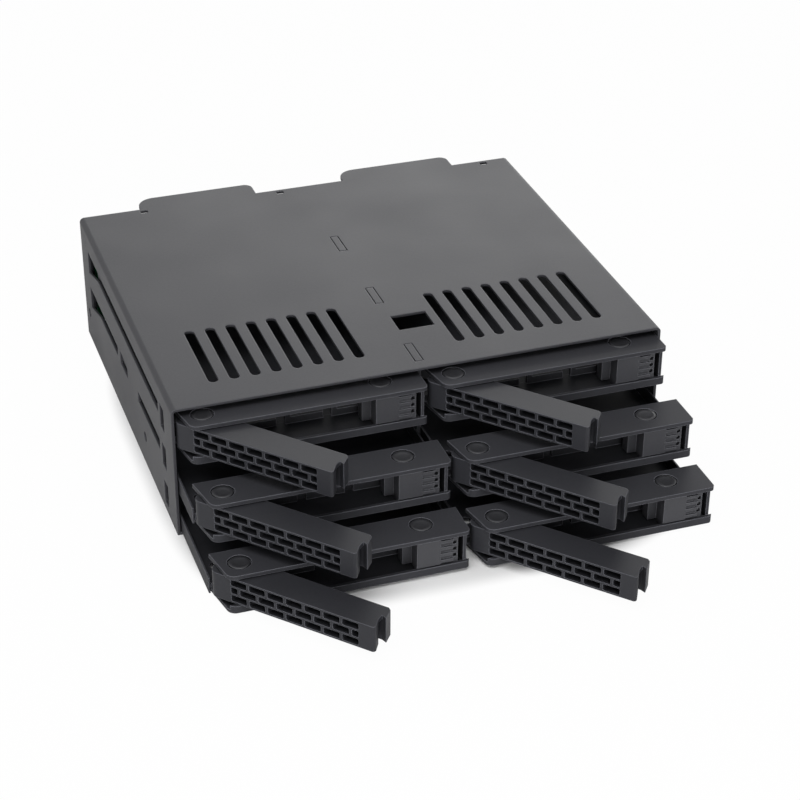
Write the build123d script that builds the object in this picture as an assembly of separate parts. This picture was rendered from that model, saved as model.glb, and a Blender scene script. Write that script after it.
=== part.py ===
from build123d import *
import os

# Housing, in millimetres. X runs to the right, Y to the back, Z up, with the origin at the middle of the base.
housing_width = 146.0
housing_depth = 122.8
housing_height = 41.3
sheet = 0.8
bend_radius = 1.5

# Rows and columns of trays
row_names = ["bottom", "middle", "top"]
column_names = ["left", "right"]
first_row_base = 1.0
row_top_gap = 1.25

# How far each tray stands out from its home place, where its front is level with the housing's
pulled_bottom_left = 41.6
pulled_bottom_right = 43.2
pulled_middle_left = 26.2
pulled_middle_right = 27.5
pulled_top_left = 6.3
pulled_top_right = 7.3

# Vents, window and notches of the top plate
vent_count = 8
vent_pitch = 6.1
vent_first = 15.15
vent_width = 2.95
vent_length = 30.2
vent_front_gap = 10.8
window_left = 0.3
window_width = 10.8
window_front_gap = 22.2
window_length = 8.7
rear_slot_left_inset = 20.6
rear_slot_middle = -7.2
rear_slot_right_inset = 9.3
rear_slot_width = 2.4
rear_slot_depth = 1.7
rear_slot_edge = 1.1

# Fan covers that the top plate forms at the back
fan_cover_overhang = 1.65
fan_cover_depth = 7.2
fan_cover_left_corner = 5.5
fan_cover_right_corner = 2.6

# Slots of the side walls for the lever hooks
hook_slot_length = 4.6
hook_slot_room = 5.35
hook_slot_front_gap = 9.8
hook_slot_rise = 5.3

# Rail slots of the side walls, each with a mouth that widens downwards to the rear
rail_rise = 8.1
rail_height = 3.6
upper_rail_span = (16.8, 112.5)
lower_rail_front_span = (17.2, 44.8)
lower_rail_rear_span = (72.5, 112.8)
rail_mouth_length = 15.0
rail_mouth_drop = 4.2
bridge_span = (59.0, 69.0)
bridge_height = 4.4
bridge_press = 0.7

# Ledges that carry the trays
ledge_reach = 3.0
ledge_front_gap = 13.0
ledge_length = 91.0
tray_lift = 0.2

# Centre divider and its tabs
divider_thickness = 1.0
divider_front_gap = 3.9
divider_tab_length = 9.8
divider_tab_width = 2.1
divider_tab_gap = 0.3
divider_tab_first = 9.0
divider_tab_pitch = 35.5
divider_tab_count = 3

# Base plate
base_tab_length = 8.0
base_tab_inset = 16.4
base_tab_gap = 0.05

# Standard fixing holes of a drive bay
fixing_radius = 1.6
fixing_spacing_along = 79.25
fixing_side_inset = 3.15
fixing_front_gap = 38.0
side_fixing_height = 10.0

# Backplane board and its connectors
board_front_gap = 116.0
board_thickness = 1.6
board_side_gap = 1.7
board_bottom_gap = 1.6
board_top_gap = 0.9
board_vent_margin = 1.25
board_vent_height = 3.4
board_vent_rise = 9.4
connector_width = 42.5
connector_height = 5.6
connector_depth = 5.6
connector_rise = 4.2
connector_spacer_gap = 3.8
tongue_wall = 1.3
tongue_depth = 4.2
data_socket_width = 13.6
data_socket_height = 4.8
data_socket_column = 6.9
data_socket_wall = 1.1
socket_hollow_depth = 6.0
power_socket_width = 6.4
power_socket_room = 7.6
power_socket_inset = 9.6
power_socket_wall = 1.2
socket_length = 8.5
panel_window_gap = 0.3

# Rear panel
panel_front_gap = 119.0
panel_flange_depth = 4.8
panel_flange_inset = 3.15

# Screws, spacers and rivets of the housing
spacer_radius = 2.4
spacer_side_inset = 6.0
spacer_board_inset = 4.1
screw_radius = 1.5
screw_gap = 0.06
screw_head_radius = 2.6
screw_head_height = 1.3
rivet_radius = 1.6
rivet_head_radius = 2.6
rivet_head_height = 0.6
rivet_front_gap = 116.2
rivet_inset = 5.8

# Fans
fan_room = 3.15
fan_depth = 7.0
fan_corner = 3.0
fan_rim = 1.1
fan_hole_inset = 3.0
fan_socket_gap = 2.8
fan_hub_radius = 7.6
fan_boss_radius = 6.4
fan_back_thickness = 1.2
fan_arm_width = 1.8
fan_arm_count = 4
fan_gap = 0.4
fan_axle_radius = 1.0
fan_axle_gap = 0.05
fan_blade_count = 7
fan_blade_thickness = 0.8
fan_blade_pitch = 38.0

# Bezel of a tray, measured from the middle of its column, its front face and its base
bezel_depth = 12.2
bezel_row_gap = 0.65
bezel_left_gap = 1.05
bezel_left_slant = 2.4
bezel_right_gap = 0.35
bezel_corner = 2.6
bezel_floor = 1.0
lip_height = 2.3
lip_thickness = 1.0
cover_thickness = 1.2
comb_thickness = 1.2
comb_height = 3.2
comb_gap = 2.5
comb_first_gap = 2.9
comb_post = 1.6
comb_count = 5
end_wall_inset = 1.8
end_wall_thickness = 0.9

# Carrier behind the bezel, with the four bottom screw holes of a drive
carrier_length = 97.8
carrier_side_gap = 0.35
carrier_wall = 0.5
carrier_wall_height = 5.0
carrier_floor = 0.8
drive_hole_radius = 1.6
drive_hole_inset = 4.64
drive_hole_first = 9.7
drive_hole_spacing = 76.6

# Lever, measured from its pivot, with the lever shut
pivot_from_side = 6.8
pivot_from_front = 6.0
pivot_radius = 1.5
pivot_gap = 0.06
lever_open_angle = 48.0
lever_front = 5.4
lever_depth = 9.3
lever_front_wall = 3.7
lever_back_wall = 3.6
lever_roof = 1.2
lever_heel = 6.25
lever_heel_corner = 2.3
lever_heel_round = 4.4
lever_heel_step = 0.65
lever_block = 6.5
lever_tip = 4.6
lever_tip_slant = 1.25
lever_tip_round = 0.8
lever_hook_reach = 0.3
lever_hook_lean = 0.65
lever_hook_slope = 0.7
lever_boss_radius = 3.0
lever_gap = 0.3
brick_count = 7
brick_rib = 0.8
brick_row_count = 3
brick_row_rib = 0.5
brick_corner = 0.45

# Latch button, measured from the right end of the bezel
latch_inset = 15.3
latch_pad = 6.8
latch_grip = 3.7
latch_end = 1.5
latch_depth = 8.0
latch_front_gap = 0.4
latch_relief = 0.6
latch_gap = 0.3
latch_travel = 1.1
ridge_count = 4
ridge_height = 0.8
ridge_margin = 0.45
notch_size = 1.1
nose_reach = 2.7
nose_front = 5.0
nose_lever_gap = 0.45
spring_pocket_depth = 4.6
spring_pocket_width = 2.6
spring_pocket_height = 4.0
spring_wire = 0.35
spring_turns = 4
spring_gap = 0.2
spring_free_gap = 0.3

# Tray screws
tray_screw_head_radius = 2.95
tray_screw_head_height = 0.7
tray_screw_ring = 0.35
tray_screw_dish = 0.2
tray_screw_dish_radius = 2.1
latch_screw_inset = 11.9
latch_screw_from_front = 7.2
latch_slot_gap = 0.25

# Housing places worked out from the sizes above
front_y = -housing_depth / 2
rear_y = housing_depth / 2
inner_side = housing_width / 2 - sheet
inner_top = housing_height - sheet
row_pitch = (inner_top - first_row_base - row_top_gap) / len(row_names)
bay_half_width = (inner_side - divider_thickness / 2) / 2
column_middle = inner_side - bay_half_width
hook_slot_height = row_pitch - hook_slot_room
rear_slot_places = [
    -housing_width / 2 + rear_slot_left_inset,
    rear_slot_middle,
    housing_width / 2 - rear_slot_right_inset,
]
base_tab_end = rear_y - base_tab_inset
base_tab_places = [-base_tab_end, 0, base_tab_end]
fixing_spacing_across = housing_width - 2 * fixing_side_inset

# Board, panel and fan places
board_front_y = front_y + board_front_gap
board_rear_y = board_front_y + board_thickness
board_bottom = sheet + board_bottom_gap
board_top = inner_top - board_top_gap
panel_front_y = front_y + panel_front_gap
panel_rear_y = panel_front_y + sheet
spacer_side = inner_side - spacer_side_inset
spacer_heights = [board_bottom + spacer_board_inset, board_top - spacer_board_inset]
rivet_heights = [rivet_inset, housing_height - rivet_inset]
connector_offset = spacer_side - connector_spacer_gap - connector_width / 2 - column_middle
power_socket_place = inner_side - power_socket_inset
power_socket_height = board_top - board_bottom - 2 * power_socket_room
fan_middle_z = (inner_top + sheet) / 2
fan_size = housing_height - 2 * fan_room
fan_centre = data_socket_column + data_socket_width / 2 + fan_socket_gap + fan_size / 2
fan_bore_radius = fan_size / 2 - fan_rim
fan_hole_spacing = fan_size - 2 * fan_hole_inset
fan_cover_width = fan_size + 2 * fan_cover_overhang

# Tray places
bezel_height = row_pitch - bezel_row_gap
bezel_left = bay_half_width - bezel_left_gap
bezel_right = bay_half_width - bezel_right_gap
carrier_half_width = bay_half_width - carrier_side_gap
end_wall_left = bezel_right - end_wall_inset
comb_pitch = (bezel_left + end_wall_left) / comb_count
cover_underside = bezel_height - cover_thickness
lever_bottom = lip_height + lever_gap
lever_top = cover_underside - lever_gap
lever_back = lever_depth - lever_front
pivot_from_middle = bezel_left - pivot_from_side
latch_left = bezel_right - latch_inset
latch_right = latch_left + latch_pad + latch_grip + latch_end
latch_bottom = bezel_floor + latch_gap
latch_top = cover_underside - latch_gap
latch_middle = (lever_bottom + latch_top) / 2
latch_screw_from_middle = bezel_right - latch_screw_inset
lever_reach = latch_left - nose_reach - nose_lever_gap - lever_hook_reach + pivot_from_middle
brick_start = lever_block - lever_heel
brick_end = lever_reach - lever_tip
brick_pitch = (brick_end - brick_start) / brick_count
brick_row_pitch = (lever_top - lever_bottom - brick_row_rib) / brick_row_count
brick_height = brick_row_pitch - brick_row_rib
ridge_pitch = (latch_top - lever_bottom - ridge_height - 2 * ridge_margin) / (ridge_count - 1)
pulled = {
    ("bottom", "left"): pulled_bottom_left,
    ("bottom", "right"): pulled_bottom_right,
    ("middle", "left"): pulled_middle_left,
    ("middle", "right"): pulled_middle_right,
    ("top", "left"): pulled_top_left,
    ("top", "right"): pulled_top_right,
}


def block(x0, x1, y0, y1, z0, z1):
    """A solid block between two opposite corners."""
    middle = Pos((x0 + x1) / 2, (y0 + y1) / 2, (z0 + z1) / 2)
    return middle * Box(x1 - x0, y1 - y0, z1 - z0)


def post(x, y, z0, z1, radius):
    """An upright cylinder."""
    return Pos(x, y, (z0 + z1) / 2) * Cylinder(radius, z1 - z0)


def rod_along_y(x, z, y0, y1, radius):
    """A cylinder that lies along Y."""
    return Pos(x, (y0 + y1) / 2, z) * Rot(90, 0, 0) * Cylinder(radius, y1 - y0)


def rod_along_x(y, z, x0, x1, radius):
    """A cylinder that lies along X."""
    return Pos((x0 + x1) / 2, y, z) * Rot(0, 90, 0) * Cylinder(radius, x1 - x0)


def slab(points, z0, z1, rounds=()):
    """An upright slab over a closed outline; rounds holds (point number, radius) pairs."""
    outline = make_face(Polyline(*points, close=True))
    for number, radius in rounds:
        x, y = points[number]
        corner = outline.vertices().sort_by_distance((x, y, 0))[0]
        outline = fillet(corner, radius)
    return Pos(0, 0, z0) * extrude(outline, z1 - z0)


def mirrored(solid):
    """The solid together with its mirror image across the YZ plane."""
    return solid + mirror(solid, Plane.YZ)


def row_base(row):
    """Height of the underside of a row's bezels."""
    return first_row_base + row_pitch * row


def ledge_top(row):
    """Height of the ledge that a row's carriers run on."""
    return row_base(row) + (bezel_floor - carrier_floor) / 2 - tray_lift


def column_x(column):
    """Middle of a column of trays."""
    return column_middle if column == "right" else -column_middle


def tray_place(row, column):
    """Place of a tray's own origin: the middle of its bezel's front edge, at its base."""
    out = pulled[(row_names[row], column)]
    return Pos(column_x(column), front_y - out, row_base(row))


# Housing shell
def wall_opening(span, low, high):
    """A hole through the right wall, between two distances from the front and two heights."""
    return block(inner_side - sheet, inner_side + 2 * sheet, front_y + span[0], front_y + span[1], low, high)


def rail_mouth(span, low):
    """The triangle below a rail slot at its rear end."""
    rear = front_y + span[1]
    corners = [(rear, low), (rear, low - rail_mouth_drop), (rear - rail_mouth_length, low)]
    face = make_face(Polyline(*[(inner_side - sheet, y, z) for y, z in corners], close=True))
    return extrude(face, 3 * sheet, dir=(1, 0, 0))


def rail_slots():
    """Rail slots of the right wall, one above the middle row and one above the bottom row."""
    upper_top = row_base(2) + rail_rise
    lower_top = row_base(1) + rail_rise
    slots = wall_opening(upper_rail_span, upper_top - rail_height, upper_top)
    slots += rail_mouth(upper_rail_span, upper_top - rail_height)
    for span in (lower_rail_front_span, lower_rail_rear_span):
        slots += wall_opening(span, lower_top - rail_height, lower_top)
    slots += rail_mouth(lower_rail_rear_span, lower_top - rail_height)
    return slots


def bridge_middle_z():
    """Height of the middle of the bridge between the two lower rail slots."""
    return row_base(1) + rail_rise - rail_height / 2


def bridge_slot():
    """Opening of the right wall behind the bridge."""
    low = bridge_middle_z() - bridge_height / 2
    return wall_opening(bridge_span, low, low + bridge_height)


def bridge_strip():
    """Strip across the bridge's opening, pressed inwards from the right wall."""
    low = bridge_middle_z() - bridge_height / 4
    return block(
        inner_side - bridge_press, inner_side + sheet - bridge_press,
        front_y + bridge_span[0] - sheet, front_y + bridge_span[1] + sheet,
        low, low + bridge_height / 2,
    )


def wall_ledges(x_face, towards):
    """Ledges of one upright wall for the middle and top rows; towards is 1 or -1 along X."""
    ledges = Part()
    x_far = x_face + towards * ledge_reach
    for row in (1, 2):
        top = ledge_top(row)
        ledges += block(
            min(x_face, x_far), max(x_face, x_far),
            front_y + ledge_front_gap, front_y + ledge_front_gap + ledge_length,
            top - sheet, top,
        )
    return ledges


def hook_slots(x0, x1):
    """Upright slots through a wall that the lever hooks reach into, one for each row."""
    slots = Part()
    for row in range(len(row_names)):
        middle = row_base(row) + hook_slot_rise
        slots += block(
            x0, x1,
            front_y + hook_slot_front_gap, front_y + hook_slot_front_gap + hook_slot_length,
            middle - hook_slot_height / 2, middle + hook_slot_height / 2,
        )
    return slots


def side_fixings():
    """Fixing holes through both side walls."""
    holes = Part()
    outside = housing_width / 2 + sheet
    for along in (fixing_front_gap, fixing_front_gap + fixing_spacing_along):
        holes += rod_along_x(front_y + along, side_fixing_height, -outside, outside, fixing_radius)
    return holes


def vent_slots():
    """The two groups of vents in the top plate."""
    slots = Part()
    middle_y = front_y + vent_front_gap + vent_length / 2
    slot = extrude(SlotOverall(vent_length, vent_width, rotation=90), 4 * sheet)
    for number in range(vent_count):
        x = vent_first + vent_pitch * number
        for side in (-1, 1):
            slots += Pos(side * x, middle_y, housing_height - 2 * sheet) * slot
    return slots


def divider_tab(number, gap, z0, z1):
    """One tab of the centre divider, or with a gap the slot that it stands in."""
    middle = front_y + divider_tab_first + divider_tab_pitch * number
    half_width = divider_tab_width / 2 + gap
    half_length = divider_tab_length / 2 + gap
    return block(-half_width, half_width, middle - half_length, middle + half_length, z0, z1)


def housing_shell():
    """Top plate and side walls, folded from one sheet."""
    outer = block(-housing_width / 2, housing_width / 2, front_y, rear_y, 0, housing_height)
    outer = fillet(outer.edges().filter_by(Axis.Y).group_by(Axis.Z)[-1], bend_radius)
    inner = block(-inner_side, inner_side, front_y - sheet, rear_y + sheet, -sheet, inner_top)
    inner = fillet(inner.edges().filter_by(Axis.Y).group_by(Axis.Z)[-1], bend_radius - sheet)
    shell = outer - inner
    cover = Box(fan_cover_width, fan_cover_depth + sheet, sheet)
    for end, radius in ((0, fan_cover_left_corner), (-1, fan_cover_right_corner)):
        rear_corners = cover.edges().filter_by(Axis.Z).group_by(Axis.Y)[-1].sort_by(Axis.X)
        cover = fillet(rear_corners[end], radius)
    for side in (-1, 1):
        shell += Pos(side * fan_centre, rear_y + (fan_cover_depth - sheet) / 2, housing_height - sheet / 2) * cover
    shell -= vent_slots()
    shell -= block(
        window_left, window_left + window_width,
        front_y + window_front_gap, front_y + window_front_gap + window_length,
        inner_top - sheet, housing_height + sheet,
    )
    for number in range(divider_tab_count):
        shell -= divider_tab(number, divider_tab_gap, inner_top - sheet, housing_height + sheet)
    slot_rear = rear_y - rear_slot_edge
    for place in rear_slot_places:
        shell -= block(
            place - rear_slot_width / 2, place + rear_slot_width / 2,
            slot_rear - rear_slot_depth, slot_rear, inner_top - sheet, housing_height + sheet,
        )
    shell -= mirrored(hook_slots(inner_side - sheet, inner_side + 2 * sheet))
    shell -= mirrored(rail_slots())
    shell -= mirrored(bridge_slot())
    shell += mirrored(bridge_strip())
    shell += wall_ledges(inner_side, -1)
    shell += wall_ledges(-inner_side, 1)
    shell -= side_fixings()
    for place in base_tab_places:
        half = base_tab_length / 2 + base_tab_gap
        shell -= block(-housing_width, housing_width, place - half, place + half, -sheet, sheet + base_tab_gap)
    for height in rivet_heights:
        shell -= rod_along_x(front_y + rivet_front_gap, height, -housing_width, housing_width, rivet_radius)
    return shell


# Base plate
def base_plate():
    """Bottom sheet with side tabs, divider slots and fixing holes."""
    plate = block(-inner_side, inner_side, front_y, rear_y, 0, sheet)
    for place in base_tab_places:
        plate += block(
            -housing_width / 2, housing_width / 2,
            place - base_tab_length / 2, place + base_tab_length / 2, 0, sheet,
        )
    for number in range(divider_tab_count):
        plate -= divider_tab(number, divider_tab_gap, -sheet, 2 * sheet)
    for along in (fixing_front_gap, fixing_front_gap + fixing_spacing_along):
        for side in (-1, 1):
            plate -= post(side * fixing_spacing_across / 2, front_y + along, -sheet, 2 * sheet, fixing_radius)
    return plate


# Centre divider
def centre_divider():
    """Upright wall between the columns, with ledges, hook slots and tabs into the top and base."""
    half = divider_thickness / 2
    wall = block(-half, half, front_y + divider_front_gap, board_front_y, sheet, inner_top)
    wall -= hook_slots(-half - sheet, half + sheet)
    wall += wall_ledges(half, 1)
    wall += wall_ledges(-half, -1)
    for number in range(divider_tab_count):
        wall += divider_tab(number, 0, inner_top, housing_height)
        wall += divider_tab(number, 0, 0, sheet)
    return wall


# Rear panel, board, spacers and sockets
def fan_hole_places(side):
    """Places of a fan's four screws across the panel."""
    half = fan_hole_spacing / 2
    return [(side * fan_centre + dx * half, fan_middle_z + dz * half) for dx in (-1, 1) for dz in (-1, 1)]


def rear_panel():
    """Back sheet with two fan openings, socket windows and side flanges."""
    panel = block(-inner_side, inner_side, panel_front_y, panel_rear_y, sheet, inner_top)
    panel = fillet(panel.edges().filter_by(Axis.Y).group_by(Axis.Z)[-1], bend_radius)
    flange = block(
        inner_side - sheet, inner_side, panel_front_y - panel_flange_depth, panel_front_y,
        panel_flange_inset, housing_height - panel_flange_inset,
    )
    panel += mirrored(flange)
    for side in (-1, 1):
        panel -= rod_along_y(
            side * fan_centre, fan_middle_z, panel_front_y - sheet, panel_rear_y + sheet, fan_bore_radius
        )
        for x, z in fan_hole_places(side):
            panel -= rod_along_y(x, z, panel_front_y - sheet, panel_rear_y + sheet, screw_radius + screw_gap)
        for height in spacer_heights:
            panel -= rod_along_y(
                side * spacer_side, height, panel_front_y - sheet, panel_rear_y + sheet, screw_radius + screw_gap
            )
        half_width = power_socket_width / 2 + panel_window_gap
        half_height = power_socket_height / 2 + panel_window_gap
        panel -= block(
            side * power_socket_place - half_width, side * power_socket_place + half_width,
            panel_front_y - sheet, panel_rear_y + sheet, fan_middle_z - half_height, fan_middle_z + half_height,
        )
        for row in range(len(row_names)):
            panel -= data_socket_body(side, row, panel_window_gap)
    for height in rivet_heights:
        panel -= rod_along_x(front_y + rivet_front_gap, height, -housing_width, housing_width, rivet_radius)
    return panel - side_fixings()


def connector_middle_z(row):
    """Height of the middle of a row's connector."""
    return row_base(row) + connector_rise


def backplane_board():
    """Circuit board that carries the drive connectors, with vent slots for the fans."""
    side = inner_side - board_side_gap
    board = block(-side, side, board_front_y, board_rear_y, board_bottom, board_top)
    vent_half = connector_width / 2 - board_vent_margin
    for column in column_names:
        x = column_x(column) + connector_offset
        for row in range(len(row_names)):
            z = row_base(row) + board_vent_rise
            board -= block(
                x - vent_half, x + vent_half,
                board_front_y - sheet, board_rear_y + sheet, z - board_vent_height / 2, z + board_vent_height / 2,
            )
    for side_sign in (-1, 1):
        for height in spacer_heights:
            board -= rod_along_y(
                side_sign * spacer_side, height, board_front_y - sheet, board_rear_y + sheet, screw_radius + screw_gap
            )
    return board


def drive_connector(row, column):
    """Connector on the front of the board that one drive plugs into."""
    x = column_x(column) + connector_offset
    z = connector_middle_z(row)
    body = block(
        x - connector_width / 2, x + connector_width / 2,
        board_front_y - connector_depth, board_front_y, z - connector_height / 2, z + connector_height / 2,
    )
    mouth = block(
        x - connector_width / 2 + tongue_wall, x + connector_width / 2 - tongue_wall,
        board_front_y - connector_depth, board_front_y - connector_depth + tongue_depth,
        z - connector_height / 2 + tongue_wall, z + connector_height / 2 - tongue_wall,
    )
    tongue = block(
        x - connector_width / 2 + 2 * tongue_wall, x + connector_width / 2 - 2 * tongue_wall,
        board_front_y - connector_depth, board_front_y - connector_depth + tongue_depth,
        z - tongue_wall / 2, z + tongue_wall / 2,
    )
    return body - mouth + tongue


def data_socket_body(side, row, gap):
    """Outside of one data socket, or with a gap the window that it stands in."""
    x = side * data_socket_column
    z = connector_middle_z(row) + connector_height / 2
    return block(
        x - data_socket_width / 2 - gap, x + data_socket_width / 2 + gap,
        board_rear_y, board_rear_y + socket_length,
        z - data_socket_height / 2 - gap, z + data_socket_height / 2 + gap,
    )


def data_sockets(side):
    """Three data sockets on the back of the board, one above the other."""
    group = []
    for row in range(len(row_names)):
        x = side * data_socket_column
        z = connector_middle_z(row) + connector_height / 2
        hollow = block(
            x - data_socket_width / 2 + data_socket_wall, x + data_socket_width / 2 - data_socket_wall,
            board_rear_y + socket_length - socket_hollow_depth, board_rear_y + socket_length,
            z - data_socket_height / 2 + data_socket_wall, z + data_socket_height / 2 - data_socket_wall,
        )
        group.append(data_socket_body(side, row, 0) - hollow)
    return Compound(children=group)


def power_socket(side):
    """Upright power socket on the back of the board."""
    x = side * power_socket_place
    body = block(
        x - power_socket_width / 2, x + power_socket_width / 2,
        board_rear_y, board_rear_y + socket_length,
        fan_middle_z - power_socket_height / 2, fan_middle_z + power_socket_height / 2,
    )
    hollow = block(
        x - power_socket_width / 2 + power_socket_wall, x + power_socket_width / 2 - power_socket_wall,
        board_rear_y + socket_length - socket_hollow_depth, board_rear_y + socket_length,
        fan_middle_z - power_socket_height / 2 + power_socket_wall,
        fan_middle_z + power_socket_height / 2 - power_socket_wall,
    )
    return body - hollow


def board_spacers():
    """Four spacers that hold the board off the rear panel."""
    group = []
    for side in (-1, 1):
        for height in spacer_heights:
            rod = rod_along_y(side * spacer_side, height, board_rear_y, panel_front_y, spacer_radius)
            bore = rod_along_y(side * spacer_side, height, board_rear_y, panel_front_y, screw_radius + screw_gap)
            group.append(rod - bore)
    return Compound(children=group)


def screw_along_y(x, z, head_y, tip_y):
    """A pan head screw along Y, with its head on the far side of head_y from tip_y."""
    outwards = 1 if head_y > tip_y else -1
    shank = rod_along_y(x, z, min(head_y, tip_y), max(head_y, tip_y), screw_radius)
    far = head_y + outwards * screw_head_height
    head = rod_along_y(x, z, min(head_y, far), max(head_y, far), screw_head_radius)
    recess = Pos(x, far, z) * Rot(90, 0, 45) * Box(screw_radius, screw_radius, screw_head_height)
    return shank + head - recess


def board_screws():
    """Screws through the board and the spacers into the rear panel."""
    group = []
    for side in (-1, 1):
        for height in spacer_heights:
            group.append(screw_along_y(side * spacer_side, height, board_front_y, panel_rear_y))
    return Compound(children=group)


def side_rivets():
    """Flush rivets that join the side walls to the rear panel's flanges."""
    group = []
    for side in (-1, 1):
        for height in rivet_heights:
            y = front_y + rivet_front_gap
            outer = side * housing_width / 2
            inner = side * (inner_side - sheet)
            tail = inner - side * rivet_head_height
            shank = rod_along_x(y, height, min(inner, outer), max(inner, outer), rivet_radius)
            head = rod_along_x(y, height, min(inner, tail), max(inner, tail), rivet_head_radius)
            group.append(shank + head)
    return Compound(children=group)


# Fans
def fan_frame(side):
    """Square fan frame with a round bore, arms and a motor boss at the panel side."""
    x = side * fan_centre
    frame = block(
        x - fan_size / 2, x + fan_size / 2, panel_rear_y, panel_rear_y + fan_depth,
        fan_middle_z - fan_size / 2, fan_middle_z + fan_size / 2,
    )
    frame = fillet(frame.edges().filter_by(Axis.Y), fan_corner)
    frame -= rod_along_y(x, fan_middle_z, panel_rear_y, panel_rear_y + fan_depth, fan_bore_radius)
    for hole_x, hole_z in fan_hole_places(side):
        frame -= rod_along_y(hole_x, hole_z, panel_rear_y, panel_rear_y + fan_depth, screw_radius + screw_gap)
    back = panel_rear_y + fan_depth
    boss = rod_along_y(x, fan_middle_z, back - fan_back_thickness, back, fan_boss_radius)
    for number in range(fan_arm_count):
        arm = Box(fan_bore_radius + fan_arm_width / 2, fan_back_thickness, fan_arm_width)
        reach = (fan_bore_radius + fan_arm_width / 2) / 2
        turn = Rot(0, 360 / fan_arm_count * number, 0)
        boss += Pos(x, back - fan_back_thickness / 2, fan_middle_z) * turn * Pos(reach, 0, 0) * arm
    frame += boss
    return frame - rod_along_y(x, fan_middle_z, panel_rear_y, back, fan_axle_radius + fan_axle_gap)


def fan_rotor(side):
    """Hub, axle and blades, turning together on the frame's boss."""
    x = side * fan_centre
    hub_front = panel_rear_y + fan_gap
    hub_back = panel_rear_y + fan_depth - fan_back_thickness - fan_gap
    rotor = rod_along_y(x, fan_middle_z, hub_front, hub_back, fan_hub_radius)
    depth = hub_back - hub_front
    blade_reach = fan_bore_radius - fan_gap
    blade = Box(blade_reach, fan_blade_thickness, 2 * depth)
    swept = Part()
    for number in range(fan_blade_count):
        turn = Rot(0, 360 / fan_blade_count * number, 0)
        tilted = Pos(blade_reach / 2, 0, 0) * Rot(90 - fan_blade_pitch, 0, 0) * blade
        swept += Pos(x, (hub_front + hub_back) / 2, fan_middle_z) * turn * tilted
    swept &= rod_along_y(x, fan_middle_z, hub_front, hub_back, blade_reach)
    rotor += swept
    return rotor + rod_along_y(x, fan_middle_z, hub_back, panel_rear_y + fan_depth, fan_axle_radius)


def fan_screws():
    """Four screws through each fan into the rear panel."""
    group = []
    for side in (-1, 1):
        for x, z in fan_hole_places(side):
            group.append(screw_along_y(x, z, panel_rear_y + fan_depth, panel_front_y))
    return Compound(children=group)


# Tray pieces, each in the tray's own coordinates
def bezel_outline():
    """Corners of a bezel seen from above, from the front left, anticlockwise."""
    return [
        (-bezel_left + bezel_left_slant, 0),
        (bezel_right, 0),
        (bezel_right, bezel_depth),
        (-bezel_left, bezel_depth),
    ]


def tray_frame():
    """Bezel floor, lip, comb wall, end wall and the carrier behind them, in one piece."""
    rounds = [(0, bezel_corner), (1, bezel_corner / 2)]
    frame = slab(bezel_outline(), 0, bezel_floor, rounds)
    lip = slab(bezel_outline(), bezel_floor, lip_height, rounds)
    frame += lip & block(-bezel_left, bezel_right, 0, lip_thickness, 0, lip_height)
    comb_front = bezel_depth - comb_thickness
    frame += block(-bezel_left, end_wall_left, comb_front, bezel_depth, bezel_floor, comb_height)
    for number in range(comb_count):
        gap_left = -bezel_left + comb_first_gap - comb_gap / 2 + comb_pitch * number
        gap_right = gap_left + comb_gap
        frame -= block(gap_left, gap_right, comb_front, bezel_depth, bezel_floor, comb_height)
        frame += block(gap_right, gap_right + comb_post, comb_front, bezel_depth, bezel_floor, cover_underside)
    end_wall_right = end_wall_left + end_wall_thickness
    frame += block(end_wall_left, end_wall_right, lip_thickness, bezel_depth, bezel_floor, cover_underside)
    low = (bezel_floor - carrier_floor) / 2
    carrier_end = bezel_depth + carrier_length
    floor = block(-carrier_half_width, carrier_half_width, bezel_depth, carrier_end, low, low + carrier_floor)
    hole_side = carrier_half_width - drive_hole_inset
    first_hole = bezel_depth + drive_hole_first
    for hole_y in (first_hole, first_hole + drive_hole_spacing):
        for hole_x in (-hole_side, hole_side):
            floor -= post(hole_x, hole_y, 0, bezel_floor, drive_hole_radius)
    frame += floor
    wall = block(
        carrier_half_width - carrier_wall, carrier_half_width, bezel_depth - comb_thickness, carrier_end,
        low, carrier_wall_height,
    )
    frame += mirrored(wall)
    frame -= post(-pivot_from_middle, pivot_from_front, 0, bezel_floor, screw_radius + screw_gap)
    frame -= post(latch_screw_from_middle, latch_screw_from_front, 0, bezel_floor, screw_radius + screw_gap)
    return frame


def tray_cover():
    """Top plate of the bezel, with two countersunk screw seats."""
    rounds = [(0, bezel_corner), (1, bezel_corner / 2)]
    cover = slab(bezel_outline(), cover_underside, bezel_height, rounds)
    seat_floor = bezel_height - tray_screw_head_height
    for x, y in tray_screw_places():
        cover -= post(x, y, seat_floor, bezel_height, tray_screw_head_radius + tray_screw_ring)
        cover -= post(x, y, cover_underside, seat_floor, screw_radius + screw_gap)
    return cover


def tray_screw_places():
    """Places of the pivot screw and the latch screw."""
    return [
        (-pivot_from_middle, pivot_from_front),
        (latch_screw_from_middle, latch_screw_from_front),
    ]


def tray_screws():
    """Pivot screw and latch screw, with dished heads flush with the cover."""
    group = []
    seat_floor = bezel_height - tray_screw_head_height
    for x, y in tray_screw_places():
        screw = post(x, y, 0, seat_floor, screw_radius)
        screw += post(x, y, seat_floor, bezel_height, tray_screw_head_radius)
        screw -= post(x, y, bezel_height - tray_screw_dish, bezel_height, tray_screw_dish_radius)
        group.append(screw)
    return Compound(children=group)


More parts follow.
